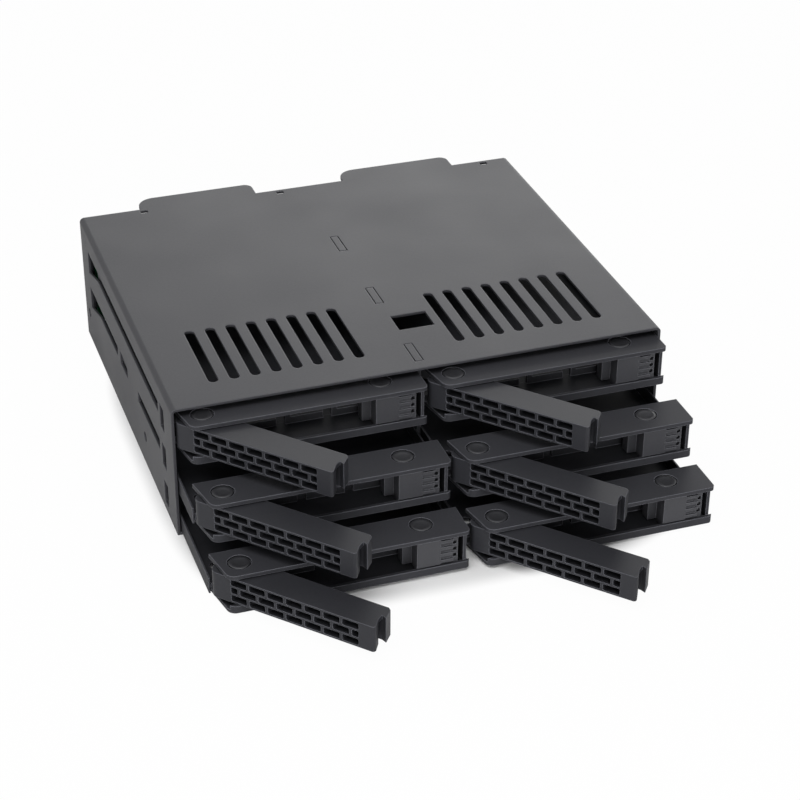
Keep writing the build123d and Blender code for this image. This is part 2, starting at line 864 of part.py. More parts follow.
def brick_holes():
    """Three rows of slots through the lever's front wall, the middle row set half a pitch over."""
    holes = Part()
    width = brick_pitch - brick_rib
    depth = 2 * lever_front_wall
    middle_z = (lever_bottom + lever_top) / 2
    whole = Rot(90, 0, 0) * extrude(RectangleRounded(width, brick_height, brick_corner), depth, both=True)
    half_width = width / 2 - brick_rib / 2
    half = Rot(90, 0, 0) * extrude(RectangleRounded(half_width, brick_height, brick_corner), depth, both=True)
    for number in range(brick_count):
        x = brick_start + brick_pitch * (number + 0.5)
        for row in (-1, 1):
            holes += Pos(x, -lever_front, middle_z + row * brick_row_pitch) * whole
        if number > 0:
            holes += Pos(x - brick_pitch / 2, -lever_front, middle_z) * whole
    first_half = brick_start + brick_rib / 2 + half_width / 2
    last_half = brick_end - brick_rib / 2 - half_width / 2
    holes += Pos(first_half, -lever_front, middle_z) * half
    holes += Pos(last_half, -lever_front, middle_z) * half
    return holes


def lever():
    """Lever with a channel along its underside, in its open place, turned about its pivot."""
    tip_end = lever_reach - lever_tip_slant
    channel_front = -lever_front + lever_front_wall
    channel_back = lever_back - lever_back_wall
    corners = [
        (-lever_heel, -lever_front),
        (lever_reach, -lever_front),
        (tip_end, channel_front),
        (tip_end, lever_back),
        (-lever_heel_round / 2, lever_back),
        (-lever_heel_round, lever_heel_round / 4),
        (-lever_heel, -lever_heel_step),
    ]
    solid = slab(corners, lever_bottom, lever_top, [(0, lever_heel_corner), (1, lever_tip_round)])
    solid -= block(
        lever_boss_radius, lever_reach, channel_front, channel_back, lever_bottom, lever_top - lever_roof
    )
    hook = [
        (tip_end, channel_back),
        (lever_reach + lever_hook_reach, channel_back - lever_hook_lean),
        (lever_reach + lever_hook_reach - lever_hook_slope, lever_back - lever_hook_slope),
        (tip_end, lever_back),
    ]
    solid += slab(hook, lever_bottom, lever_top)
    solid += post(0, 0, lever_bottom, lever_top, lever_boss_radius)
    solid -= brick_holes() & block(-lever_heel, lever_reach, -lever_front, channel_front, lever_bottom, lever_top)
    solid -= post(0, 0, lever_bottom, lever_top, pivot_radius + pivot_gap)
    return Pos(-pivot_from_middle, pivot_from_front, 0) * Rot(0, 0, -lever_open_angle) * solid


def latch_button():
    """Sliding latch with a plain pad, a ridged grip, square notches and a nose towards the lever."""
    front = latch_front_gap + latch_relief
    back = latch_front_gap + latch_depth
    button = block(latch_left, latch_right, front, back, latch_bottom, latch_top)
    pad_end = latch_left + latch_pad
    grip_end = pad_end + latch_grip
    button += block(latch_left, pad_end, latch_front_gap, front, lever_bottom, latch_top)
    for number in range(ridge_count):
        z = latch_middle + ridge_pitch * (number - (ridge_count - 1) / 2)
        button += block(pad_end, grip_end, latch_front_gap, front, z - ridge_height / 2, z + ridge_height / 2)
    for number in range(ridge_count - 1):
        z = latch_middle + ridge_pitch * (number - (ridge_count - 2) / 2)
        button -= block(
            grip_end, grip_end + notch_size, front, front + 2 * notch_size, z - notch_size / 2, z + notch_size / 2
        )
    button += block(latch_left - nose_reach, latch_left, nose_front, back, latch_bottom + latch_gap, latch_top)
    slot_half = screw_radius + latch_slot_gap
    button -= block(
        latch_screw_from_middle - slot_half - latch_travel, latch_screw_from_middle + slot_half,
        latch_screw_from_front - slot_half, back, latch_bottom, latch_top,
    )
    pocket_left = latch_right - spring_pocket_depth
    return button - block(
        pocket_left, latch_right, back - spring_pocket_width, back,
        latch_middle - spring_pocket_height / 2, latch_middle + spring_pocket_height / 2,
    )


def latch_spring():
    """Zigzag spring that stands on the end wall and reaches into the latch's pocket."""
    start = latch_right - spring_pocket_depth + latch_travel + spring_free_gap
    length = end_wall_left - start
    step = length / (2 * spring_turns)
    near = latch_front_gap + latch_depth - spring_pocket_width + spring_gap + spring_wire / 2
    far = latch_front_gap + latch_depth - spring_gap - spring_wire / 2
    places = []
    for number in range(2 * spring_turns):
        y = near if number % 2 == 0 else far
        places.append((start + step * (number + 0.5), y))
    wire = Part()
    height = spring_pocket_height - 2 * spring_gap
    low = latch_middle - height / 2
    for first, second in zip(places, places[1:]):
        path = Line(first, second)
        leaf = make_face(offset(path, spring_wire / 2).edges())
        wire += Pos(0, 0, low) * extrude(leaf, height)
    wire += block(
        start, start + step / 2 + spring_wire / 2, near - spring_wire / 2, near + spring_wire / 2,
        low, low + height,
    )
    wire += block(
        end_wall_left - step / 2 - spring_wire / 2, end_wall_left, far - spring_wire / 2, far + spring_wire / 2,
        low, low + height,
    )
    return wire


def write(name, solid):
    """Write one sub-part to its own file."""
    export_step(solid, os.path.join("parts", name + ".step"))


os.makedirs("parts", exist_ok=True)
write("housing_shell", housing_shell())
write("base_plate", base_plate())
write("centre_divider", centre_divider())
write("rear_panel", rear_panel())
write("backplane_board", backplane_board())
write("board_spacers", board_spacers())
write("board_screws", board_screws())
write("side_rivets", side_rivets())
write("fan_screws", fan_screws())
for side, side_name in ((-1, "left"), (1, "right")):
    write("data_sockets_" + side_name, data_sockets(side))
    write("power_socket_" + side_name, power_socket(side))
    write("fan_frame_" + side_name, fan_frame(side))
    write("fan_rotor_" + side_name, fan_rotor(side))
tray_pieces = {
    "frame": tray_frame(),
    "cover": tray_cover(),
    "screws": tray_screws(),
    "lever": lever(),
    "latch": latch_button(),
    "latch_spring": latch_spring(),
}
for row, row_name in enumerate(row_names):
    for column in column_names:
        write("drive_connector_" + row_name + "_" + column, drive_connector(row, column))
        for piece_name, piece in tray_pieces.items():
            write("tray_" + row_name + "_" + column + "_" + piece_name, tray_place(row, column) * piece)
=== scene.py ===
"""Looks for a hot swap drive cage.

The cage is a folded steel housing with six sliding trays, their swing levers and a fan cooled back.
"""

import logging
import math
from dataclasses import dataclass, field
from enum import Enum
from typing import Optional, Union

import bpy
import numpy as np
from mathutils import Matrix, Vector

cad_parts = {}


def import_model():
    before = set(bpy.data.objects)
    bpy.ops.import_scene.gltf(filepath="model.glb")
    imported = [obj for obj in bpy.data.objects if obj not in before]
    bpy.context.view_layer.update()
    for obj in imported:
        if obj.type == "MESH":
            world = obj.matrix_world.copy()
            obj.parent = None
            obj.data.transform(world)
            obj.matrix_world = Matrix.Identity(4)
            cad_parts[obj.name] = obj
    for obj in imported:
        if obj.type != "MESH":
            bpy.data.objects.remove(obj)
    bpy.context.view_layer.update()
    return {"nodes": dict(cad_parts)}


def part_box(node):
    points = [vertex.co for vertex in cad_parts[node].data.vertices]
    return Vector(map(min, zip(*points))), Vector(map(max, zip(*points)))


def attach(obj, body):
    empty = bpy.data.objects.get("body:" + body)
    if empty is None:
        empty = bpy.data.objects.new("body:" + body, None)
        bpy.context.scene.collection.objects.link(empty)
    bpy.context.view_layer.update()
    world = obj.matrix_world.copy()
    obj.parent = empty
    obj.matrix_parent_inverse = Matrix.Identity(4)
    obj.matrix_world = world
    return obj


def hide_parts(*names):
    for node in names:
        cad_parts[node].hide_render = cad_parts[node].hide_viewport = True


LOG = logging.getLogger("drive_cage")
MM = 0.001
TAU = 2.0 * math.pi
WHITE = (1.0, 1.0, 1.0, 1.0)

# Rays that a bevel or the occlusion test for the painted crevice shade casts
RAY_SAMPLES = 6

# Levels of detail in a noise
PLAIN_DETAIL = 1.0
MEDIUM_DETAIL = 2.0
RICH_DETAIL = 3.0

# Numbers of the Mix node's sockets when it mixes colours
MIX_MASK = 0
MIX_LOW = 6
MIX_HIGH = 7
MIX_RESULT = 2

# Radius at which a turned surface stops short of its axis, in the unit of its profile
AXIS_GAP = 1e-6

Number = Union[int, float]
Colour = tuple[float, float, float]
Place = tuple[float, float, float]
Span = tuple[float, float]
Points = np.ndarray


class Row(Enum):
    """Rows of trays, counted from the base."""

    BOTTOM = 0
    MIDDLE = 1
    TOP = 2

    @property
    def word(self) -> str:
        """Name of the row as the nodes spell it."""
        return self.name.lower()


class Column(Enum):
    """Columns of trays, with the side of the divider that each is on."""

    LEFT = -1
    RIGHT = 1

    @property
    def word(self) -> str:
        """Name of the column as the nodes spell it."""
        return self.name.lower()


class Grain(Enum):
    """Surface grains that a finish can have."""

    POWDER = "powder"
    SPARKED = "sparked"
    BRUSHED = "brushed"
    SMOOTH = "smooth"


# Shader tools


class Wire:
    """A shader socket that takes part in arithmetic, adding a Math node for each operation."""

    def __init__(self, graph: "Graph", socket: bpy.types.NodeSocket) -> None:
        """Keeps the socket and the graph that it belongs to.

        Args:
            graph: the node graph.
            socket: the output socket that this value comes from.
        """
        self.graph = graph
        self.socket = socket

    def _math(self, operation: str, *values: Union["Wire", Number]) -> "Wire":
        """Adds one Math node.

        Args:
            operation: name of the Math node's operation.
            values: its inputs, in order.

        Returns:
            The result as a wire.
        """
        inputs = dict(enumerate(values))
        return self.graph.node("ShaderNodeMath", {"operation": operation}, inputs)

    def __add__(self, other: Union["Wire", Number]) -> "Wire":
        """Sum of this and another value."""
        return self._math("ADD", self, other)

    def __radd__(self, other: Number) -> "Wire":
        """Sum with this on the right."""
        return self._math("ADD", other, self)

    def __sub__(self, other: Union["Wire", Number]) -> "Wire":
        """Difference of this and another value."""
        return self._math("SUBTRACT", self, other)

    def __rsub__(self, other: Number) -> "Wire":
        """Difference with this on the right."""
        return self._math("SUBTRACT", other, self)

    def __mul__(self, other: Union["Wire", Number]) -> "Wire":
        """Product of this and another value."""
        return self._math("MULTIPLY", self, other)

    def __rmul__(self, other: Number) -> "Wire":
        """Product with this on the right."""
        return self._math("MULTIPLY", other, self)

    def ramp(self, low: float, high: float) -> "Wire":
        """Smooth step of this value.

        Args:
            low: value that gives 0.
            high: value that gives 1.

        Returns:
            A wire from 0 to 1.
        """
        settings = {"interpolation_type": "SMOOTHSTEP"}
        inputs = {"Value": self, "From Min": low, "From Max": high}
        return self.graph.node("ShaderNodeMapRange", settings, inputs)


class Graph:
    """Node graph of a material or of the world, with one output at its end."""

    def __init__(self, owner: Union[bpy.types.Material, bpy.types.World], output: str) -> None:
        """Empties the owner's nodes and adds the output.

        Args:
            owner: the material or world.
            output: type name of the output node.
        """
        owner.use_nodes = True
        self.tree = owner.node_tree
        self.tree.nodes.clear()
        self.output = self.tree.nodes.new(output)

    def show(self, surface: Wire) -> None:
        """Links a shader to the output."""
        self._fill(self.output.inputs["Surface"], surface)

    def glimpse(self, *rays: str) -> Wire:
        """Adds up kinds of ray, such as "Is Camera Ray", to a mask that is 1 for any of them.

        Args:
            rays: names of Light Path's outputs.

        Returns:
            The mask as a wire.
        """
        total = self.node("ShaderNodeLightPath", output=rays[0])
        for ray in rays[1:]:
            total = total + self.node("ShaderNodeLightPath", output=ray)
        return total

    def node(
        self,
        kind: str,
        settings: Optional[dict] = None,
        inputs: Optional[dict] = None,
        output: Union[int, str] = 0,
    ) -> Wire:
        """Adds a node, sets it, then fills in its sockets.

        Args:
            kind: type name of the node.
            settings: attributes of the node, set before its sockets.
            inputs: values or wires by socket name or number.
            output: the output socket that is wanted.

        Returns:
            The wanted output as a wire.
        """
        made = self.tree.nodes.new(kind)
        for key, value in (settings or {}).items():
            setattr(made, key, value)
        for key, value in (inputs or {}).items():
            self._fill(made.inputs[key], value)
        return Wire(self, made.outputs[output])

    def _fill(self, socket: bpy.types.NodeSocket, value: object) -> None:
        """Links a wire to a socket, or sets the socket's own value.

        Args:
            socket: input socket.
            value: a wire or a constant.
        """
        if isinstance(value, Wire):
            self.tree.links.new(value.socket, socket)
        else:
            socket.default_value = value

    def place(self, scale: Place = (1.0, 1.0, 1.0)) -> Wire:
        """Object coordinates, stretched by a scale along each axis."""
        here = self.node("ShaderNodeTexCoord", output="Object")
        return self.node("ShaderNodeMapping", None, {"Vector": here, "Scale": scale})

    def noise(self, vector: Wire, scale: float, detail: float = MEDIUM_DETAIL) -> Wire:
        """Noise from 0 to 1 at a number of cells to the metre."""
        inputs = {"Vector": vector, "Scale": scale, "Detail": detail}
        return self.node("ShaderNodeTexNoise", {"noise_dimensions": "3D"}, inputs)

    def blend(self, mask: Wire, low: Union[Wire, Colour], high: Union[Wire, Colour]) -> Wire:
        """Mixes two colours, each a wire or a constant.

        Args:
            mask: wire from 0 to 1.
            low: colour where the mask is 0.
            high: colour where the mask is 1.

        Returns:
            The mixed colour.
        """
        ends = [colour if isinstance(colour, Wire) else (*colour, 1.0) for colour in (low, high)]
        inputs = {MIX_MASK: mask, MIX_LOW: ends[0], MIX_HIGH: ends[1]}
        return self.node("ShaderNodeMix", {"data_type": "RGBA"}, inputs, MIX_RESULT)

    def edge(self, radius: float) -> Wire:
        """Mask of the sharp edges: how far a rounded normal turns away from the flat one.

        Args:
            radius: reach of the rounding, in metres.

        Returns:
            A wire that is 0 on flat ground and grows towards 1 at an edge.
        """
        soft = self.node("ShaderNodeBevel", {"samples": RAY_SAMPLES}, {"Radius": radius})
        flat = self.node("ShaderNodeNewGeometry", output="Normal")
        settings = {"operation": "DOT_PRODUCT"}
        dot = self.node("ShaderNodeVectorMath", settings, {0: soft, 1: flat}, "Value")
        return 1.0 - dot


class Paint(Graph):
    """Graph of one material, around one Principled shader."""

    def __init__(self, name: str) -> None:
        """Makes the material and its shader.

        Args:
            name: name of the material.
        """
        self.material = bpy.data.materials.new(name)
        super().__init__(self.material, "ShaderNodeOutputMaterial")
        self.shader = self.tree.nodes.new("ShaderNodeBsdfPrincipled")
        self.surface = Wire(self, self.shader.outputs["BSDF"])
        self.show(self.surface)

    def set(self, name: str, value: object) -> None:
        """Fills in one socket of the Principled shader."""
        self._fill(self.shader.inputs[name], value)

    def bump(self, height: Wire, distance: float, radius: float = 0.0) -> None:
        """Feeds the shader's normal from a height, over edges that are rounded by a radius.

        Args:
            height: wire from 0 to 1.
            distance: depth that the height stands for, in metres.
            radius: rounding of the sharp edges, in metres.
        """
        inputs = {"Height": height, "Distance": distance, "Strength": 1.0}
        if radius > 0.0:
            inputs["Normal"] = self.node("ShaderNodeBevel", {"samples": RAY_SAMPLES}, {"Radius": radius})
        self.set("Normal", self.node("ShaderNodeBump", None, inputs))


# Finishes


@dataclass(frozen=True)
class Wear:
    """Clouds and specks of a finish's tone, its painted crevice shade, its painted edge highlights and its
    gloss; a span holds the two ends of a smooth step.
    """

    clouds_per_metre: float = 35.0
    speck_scale: float = 0.7
    speck_share: float = 0.45
    shade_span: Span = (0.25, 0.95)
    # Painted shade: how dark the crevices are painted, as a share of the dark tone, and the smooth step of
    # the occlusion test that lays it on
    painted_shade_darkness: float = 0.3
    painted_shade_span: Span = (0.1, 0.6)
    # Painted highlight: how far and how bright the lightened rims along sharp edges are painted
    highlight_reach: float = 1.6
    highlight_span: Span = (0.02, 0.3)
    highlight_brightness: float = 4.0
    gloss_swing: float = 0.08


@dataclass(frozen=True)
class Finish:
    """A finish: two close shades, a gloss, a grain, painted highlights on its edges and painted shade in its
    crevices; lengths in metres.
    """

    name: str
    dark: Colour
    light: Colour
    roughness: float
    grain: Grain
    grain_per_metre: float = 1500.0
    grain_depth: float = 0.00002
    edge_radius: float = 0.00025
    # Strength of the painted edge highlight, and reach of the occlusion test for the painted crevice shade
    edge_highlight_gain: float = 0.0
    painted_shade_reach: float = 0.0
    metallic: float = 0.0
    specular: float = 0.5
    wear: Wear = Wear()

    def material(self) -> bpy.types.Material:
        """Builds the material: cloudy tone, grained bump, painted shade in the crevices and painted
        highlights on the edges.

        Returns:
            The finished material.
        """
        wear = self.wear
        graph = Paint(self.name)
        cloud = graph.noise(graph.place(), wear.clouds_per_metre, RICH_DETAIL)
        speck = graph.noise(graph.place(), self.grain_per_metre * wear.speck_scale)
        mottle = cloud * (1.0 - wear.speck_share) + speck * wear.speck_share
        shade = graph.blend(mottle.ramp(*wear.shade_span), self.dark, self.light)
        # Painted shade: the base colour darkens where ambient occlusion finds crevices and recesses
        if self.painted_shade_reach > 0.0:
            inputs = {"Distance": self.painted_shade_reach}
            unoccluded = graph.node("ShaderNodeAmbientOcclusion", {"samples": RAY_SAMPLES}, inputs, "AO")
            painted_shade_colour = tuple(wear.painted_shade_darkness * part for part in self.dark)
            shade = graph.blend(unoccluded.ramp(*wear.painted_shade_span), painted_shade_colour, shade)
        # Painted highlight: the base colour lightens along sharp edges, where a rounded edge would catch the
        # light
        painted_highlight_mask = graph.edge(self.edge_radius * wear.highlight_reach).ramp(*wear.highlight_span)
        painted_highlight_colour = tuple(min(1.0, wear.highlight_brightness * part) for part in self.light)
        graph.set("Base Color", graph.blend(painted_highlight_mask * self.edge_highlight_gain, shade, painted_highlight_colour))
        graph.set("Roughness", self.roughness - wear.gloss_swing + cloud * (2.0 * wear.gloss_swing))
        graph.set("Metallic", self.metallic)
        graph.set("Specular IOR Level", self.specular)
        graph.bump(self._height(graph), self.grain_depth, self.edge_radius)
        return graph.material

    def _height(self, graph: Paint) -> Wire:
        """Height of the grain, from 0 to 1.

        Args:
            graph: the material's graph.

        Returns:
            Rolling noise for powder, pitted cells for spark erosion, long scratches for brushing,
            and a slow swell for a smooth surface.
        """
        if self.grain is Grain.POWDER:
            broad_scale = 0.3
            broad_share = 0.4
            fine = graph.noise(graph.place(), self.grain_per_metre, RICH_DETAIL)
            broad = graph.noise(graph.place(), self.grain_per_metre * broad_scale, PLAIN_DETAIL)
            return fine * (1.0 - broad_share) + broad * broad_share
        if self.grain is Grain.SPARKED:
            pit_scale = 1.7
            pit_share = 0.5
            inputs = {"Vector": graph.place(), "Scale": self.grain_per_metre}
            cells = graph.node("ShaderNodeTexVoronoi", {"feature": "SMOOTH_F1"}, inputs, "Distance")
            pits = graph.noise(graph.place(), self.grain_per_metre * pit_scale)
            return cells * (1.0 - pit_share) + pits * pit_share
        if self.grain is Grain.BRUSHED:
            drawn_along_y = (1.0, 0.04, 1.0)
            return graph.noise(graph.place(drawn_along_y), self.grain_per_metre)
        swell_scale = 0.2
        return graph.noise(graph.place(), self.grain_per_metre * swell_scale, PLAIN_DETAIL)


@dataclass(frozen=True)
class BoardFinish:
    """Solder resist over copper: green with raised tracks in two directions."""

    name: str = "solder_resist"
    resist: Colour = (0.004, 0.05, 0.018)
    over_copper: Colour = (0.01, 0.105, 0.04)
    track_pitch: float = 0.0018
    track_span: Span = (0.55, 0.7)
    track_height: float = 0.00003
    regions_per_metre: float = 90.0
    region_span: Span = (0.48, 0.52)
    roughness: float = 0.32
    track_gloss: float = 0.06
    edge_radius: float = 0.0002

    def material(self) -> bpy.types.Material:
        """Builds the material: tracks are bands of a sine along X and Z, broken up by noise.

        A wave node of scale s repeats every pi / (10 s) metres, so a scale of 2 / (2 pi pitch) gives about
        one track to the pitch.

        Returns:
            The finished material.
        """
        graph = Paint(self.name)
        inputs = {"Vector": graph.place(), "Scale": 2.0 / (TAU * self.track_pitch)}
        across = graph.node("ShaderNodeTexWave", {"bands_direction": "Z"}, inputs, "Fac")
        along = graph.node("ShaderNodeTexWave", {"bands_direction": "X"}, inputs, "Fac")
        noise = graph.noise(graph.place(), self.regions_per_metre, PLAIN_DETAIL)
        region = noise.ramp(*self.region_span)
        tracks = across.ramp(*self.track_span) * region + along.ramp(*self.track_span) * (1.0 - region)
        graph.set("Base Color", graph.blend(tracks, self.resist, self.over_copper))
        graph.set("Roughness", self.roughness - tracks * self.track_gloss)
        graph.bump(tracks, self.track_height, self.edge_radius)
        return graph.material


HOUSING_PAINT = Finish(
    name="housing_powder_coat",
    dark=(0.026, 0.0262, 0.0305),
    light=(0.040, 0.0402, 0.0455),
    roughness=0.47,
    grain=Grain.POWDER,
    grain_per_metre=1900.0,
    edge_radius=0.0004,
    edge_highlight_gain=0.35,
    specular=0.3,
)
TRAY_PLASTIC = Finish(
    name="tray_black_plastic",
    dark=(0.028, 0.0284, 0.0325),
    light=(0.039, 0.0395, 0.045),
    roughness=0.52,
    grain=Grain.SPARKED,
    grain_per_metre=2600.0,
    grain_depth=0.00001,
    edge_radius=0.0003,
    edge_highlight_gain=1.0,
    painted_shade_reach=0.012,
    specular=0.13,
)
LEVER_PLASTIC = Finish(
    name="lever_black_plastic",
    dark=(0.022, 0.0224, 0.026),
    light=(0.031, 0.0316, 0.0365),
    roughness=0.42,
    grain=Grain.SPARKED,
    grain_per_metre=2600.0,
    grain_depth=0.00001,
    edge_radius=0.0003,
    edge_highlight_gain=0.9,
    painted_shade_reach=0.006,
    specular=0.2,
)
LATCH_PLASTIC = Finish(
    name="latch_satin_plastic",
    dark=(0.038, 0.0384, 0.043),
    light=(0.054, 0.0545, 0.061),
    roughness=0.40,
    grain=Grain.SPARKED,
    grain_per_metre=3200.0,
    grain_depth=0.000008,
    edge_radius=0.0002,
    edge_highlight_gain=0.7,
    painted_shade_reach=0.008,
    specular=0.3,
)
SCREW_BLACK = Finish(
    name="screw_black_oxide",
    dark=(0.030, 0.0303, 0.034),
    light=(0.042, 0.0424, 0.047),
    roughness=0.40,
    grain=Grain.SMOOTH,
    grain_depth=0.00001,
    edge_radius=0.00015,
    edge_highlight_gain=0.3,
    metallic=0.4,
)
ZINC = Finish(
    name="zinc_plate",
    dark=(0.50, 0.50, 0.49),
    light=(0.68, 0.68, 0.70),
    roughness=0.34,
    grain=Grain.BRUSHED,
    grain_per_metre=2200.0,
    grain_depth=0.000008,
    edge_radius=0.0002,
    metallic=1.0,
)
SPRING_WIRE = Finish(
    name="spring_steel",
    dark=(0.55, 0.55, 0.56),
    light=(0.72, 0.72, 0.74),
    roughness=0.26,
    grain=Grain.BRUSHED,
    grain_per_metre=3000.0,
    grain_depth=0.000005,
    edge_radius=0.0001,
    metallic=1.0,
)
CONNECTOR_BLACK = Finish(
    name="connector_moulding",
    dark=(0.010, 0.010, 0.012),
    light=(0.018, 0.018, 0.021),
    roughness=0.36,
    grain=Grain.SPARKED,
    grain_per_metre=3000.0,
    grain_depth=0.000008,
    edge_radius=0.00015,
    edge_highlight_gain=0.4,
)
FAN_BLACK = Finish(
    name="fan_moulding",
    dark=(0.011, 0.011, 0.013),
    light=(0.020, 0.020, 0.023),
    roughness=0.40,
    grain=Grain.SPARKED,
    grain_per_metre=2200.0,
    grain_depth=0.00001,
    edge_radius=0.0002,
    edge_highlight_gain=0.4,
)
GOLD = Finish(
    name="contact_gold",
    dark=(0.75, 0.50, 0.17),
    light=(0.92, 0.68, 0.30),
    roughness=0.24,
    grain=Grain.BRUSHED,
    grain_per_metre=3500.0,
    grain_depth=0.000003,
    edge_radius=0.0001,
    metallic=1.0,
)


class Palette:
    """The finished materials, each made once and shared."""

    def __init__(self) -> None:
        """Starts with no material made."""
        self._made: dict[str, bpy.types.Material] = {}

    def paint(self, piece: bpy.types.Object, finish: Union[Finish, BoardFinish]) -> None:
        """Gives a piece one finish all over.

        Args:
            piece: the object.
            finish: its finish.
        """
        if finish.name not in self._made:
            self._made[finish.name] = finish.material()
        piece.data.materials.clear()
        piece.data.materials.append(self._made[finish.name])


# Surfaces


def mesh_object(name: str, points: Points, faces: np.ndarray, smooth: bool = True) -> bpy.types.Object:
    """Makes an object at the origin from points and four cornered faces.

    Args:
        name: name of the piece.
        points: (n, 3) positions in metres.
        faces: (m, 4) point numbers, in order round each face.
        smooth: whether the faces are shaded smooth.

    Returns:
        The new object.
    """
    mesh = bpy.data.meshes.new(name)
    mesh.vertices.add(len(points))
    mesh.vertices.foreach_set("co", np.ascontiguousarray(points, np.float32).ravel())
    mesh.loops.add(faces.size)
    mesh.loops.foreach_set("vertex_index", np.ascontiguousarray(faces, np.int32).ravel())
    mesh.polygons.add(len(faces))
    mesh.polygons.foreach_set("loop_start", np.arange(0, faces.size, faces.shape[1], dtype=np.int32))
    mesh.polygons.foreach_set("use_smooth", np.full(len(faces), smooth))
    mesh.update(calc_edges=True)
    mesh.validate()
    piece = bpy.data.objects.new(name, mesh)
    bpy.context.scene.collection.objects.link(piece)
    return piece


def grid_faces(rows: int, columns: int, close_columns: bool = False) -> np.ndarray:
    """Faces of a grid of points that is stored row by row.

    Args:
        rows: number of points along the first parameter.
        columns: number of points along the second.
        close_columns: whether the last column joins the first.

    Returns:
        (m, 4) point numbers.
    """
    first = np.arange(rows - 1)[:, None]
    second = np.arange(columns if close_columns else columns - 1)[None, :]
    after = (second + 1) % columns
    here = first * columns
    quads = np.stack([here + second, here + after, here + columns + after, here + columns + second], -1)
    return quads.reshape(-1, 4)


def turned(profile: Points, steps: int) -> tuple[Points, np.ndarray]:
    """Surface of revolution about Z: point (r, z) of the profile at angle a is (r cos a, r sin a, z).

    Args:
        profile: (n, 2) radius and height, from the lower end on the axis to the upper end on it.
        steps: number of steps round the axis.

    Returns:
        Points and faces; each end is a tiny open ring round the axis.
    """
    angle = np.arange(steps) / steps * TAU
    radius = np.maximum(profile[:, 0], AXIS_GAP)[:, None]
    height = np.broadcast_to(profile[:, 1][:, None], (len(profile), steps))
    points = np.stack([radius * np.cos(angle), radius * np.sin(angle), height], -1)
    return points.reshape(-1, 3), grid_faces(len(profile), steps, True)


def joined(parts: list[tuple[Points, np.ndarray]]) -> tuple[Points, np.ndarray]:
    """Puts several surfaces into one list of points and faces.

    Args:
        parts: points and faces of each.

    Returns:
        All the points, and the faces with their numbers moved on.
    """
    starts = np.cumsum([0] + [len(points) for points, _ in parts[:-1]])
    points = np.concatenate([points for points, _ in parts])
    faces = np.concatenate([faces + start for (_, faces), start in zip(parts, starts)])
    return points, faces


def closed_sheet(front: Points, back: Points) -> tuple[Points, np.ndarray]:
    """Closes two grids of the same shape into one thin body, joined along all four borders.

    The front looks along the cross product of a step to the next column and a step to the next row. The
    faces look outwards when that leads away from the back, and inwards when it leads towards it.

    Args:
        front: (rows, columns, 3) grid of one side.
        back: the same grid of the other side.

    Returns:
        Points and faces.
    """
    rows, columns = front.shape[:2]
    count = rows * columns
    numbers = np.arange(count).reshape(rows, columns)
    border = np.concatenate([numbers[0, :-1], numbers[:-1, -1], numbers[-1, :0:-1], numbers[:0:-1, 0]])
    after = np.roll(border, -1)
    front_faces = grid_faces(rows, columns)
    painted_highlight_mask = np.stack([after, border, border + count, after + count], -1)
    faces = np.concatenate([front_faces, front_faces[:, ::-1] + count, painted_highlight_mask])
    return np.concatenate([front.reshape(-1, 3), back.reshape(-1, 3)]), faces


# Sub-assemblies


@dataclass
class TurnedScrew:
    """One flush screw of a tray: shank, head and a dished top, in millimetres."""

    shank_radius: float = 1.5
    head_radius: float = 2.95
    head_height: float = 0.7
    length: float = 12.1
    edge: float = 0.12
    dish_radius: float = 2.1
    dish_depth: float = 0.2
    dish_steps: int = 7
    steps: int = 48

    def surface(self, x: float, y: float, z: float) -> tuple[Points, np.ndarray]:
        """The screw's surface of revolution, standing with its lower end at a point.

        At a share t of its radius, from 1 to 0, the dish is dish_depth * (1 - t^3) below the head's top.

        Args:
            x: place along X.
            y: place along Y.
            z: height of the lower end.

        Returns:
            Points in metres, and faces.
        """
        seat = self.length - self.head_height
        bowl = np.linspace(1.0, 0.0, self.dish_steps)
        dish = np.stack([self.dish_radius * bowl, self.length - self.dish_depth * (1.0 - bowl**3)], -1)
        outline = np.array(
            [
                (0.0, 0.0),
                (self.shank_radius - self.edge, 0.0),
                (self.shank_radius, self.edge),
                (self.shank_radius, seat),
                (self.head_radius - self.edge, seat),
                (self.head_radius, seat + self.edge),
                (self.head_radius, self.length - self.edge),
                (self.head_radius - self.edge, self.length),
            ]
        )
        points, faces = turned(np.concatenate([outline, dish]), self.steps)
        return (points + np.array([x, y, z])) * MM, faces


@dataclass
class LatchSpring:
    """Zigzag leaf spring: a flat strip carried along a sine wave, in millimetres."""

    thickness: float = 0.3
    turns: float = 3.5
    steps: int = 113

    def surface(self, low: Points, high: Points) -> tuple[Points, np.ndarray]:
        """The strip inside a box: its middle line is y = centre + reach * sin(turns * 2 pi * t), along X.

        Args:
            low: lowest corner of the box, in metres.
            high: highest corner.

        Returns:
            Points in metres, and faces, which look into the strip.
        """
        half = self.thickness * MM / 2
        along = np.linspace(0.0, 1.0, self.steps)
        reach = (high[1] - low[1]) / 2 - half
        phase = self.turns * TAU * along
        x = low[0] + half + (high[0] - low[0] - 2 * half) * along
        y = (low[1] + high[1]) / 2 + reach * np.sin(phase)
        slope = np.gradient(y, x)
        size = np.sqrt(1.0 + slope**2)
        offset = np.stack([-slope / size, 1.0 / size], -1) * half
        line = np.stack([x, y], -1)
        heights = np.array([low[2], high[2]])
        near = self._upright(line - offset, heights)
        far = self._upright(line + offset, heights)
        return closed_sheet(near, far)

    def _upright(self, line: Points, heights: Points) -> Points:
        """Carries a flat line straight up between two heights.

        Args:
            line: (n, 2) points along the line.
            heights: the two heights.

        Returns:
            (n, 2, 3) grid of points.
        """
        flat = np.repeat(line[:, None, :], len(heights), axis=1)
        level = np.broadcast_to(heights[None, :, None], (len(line), len(heights), 1))
        return np.concatenate([flat, level], -1)


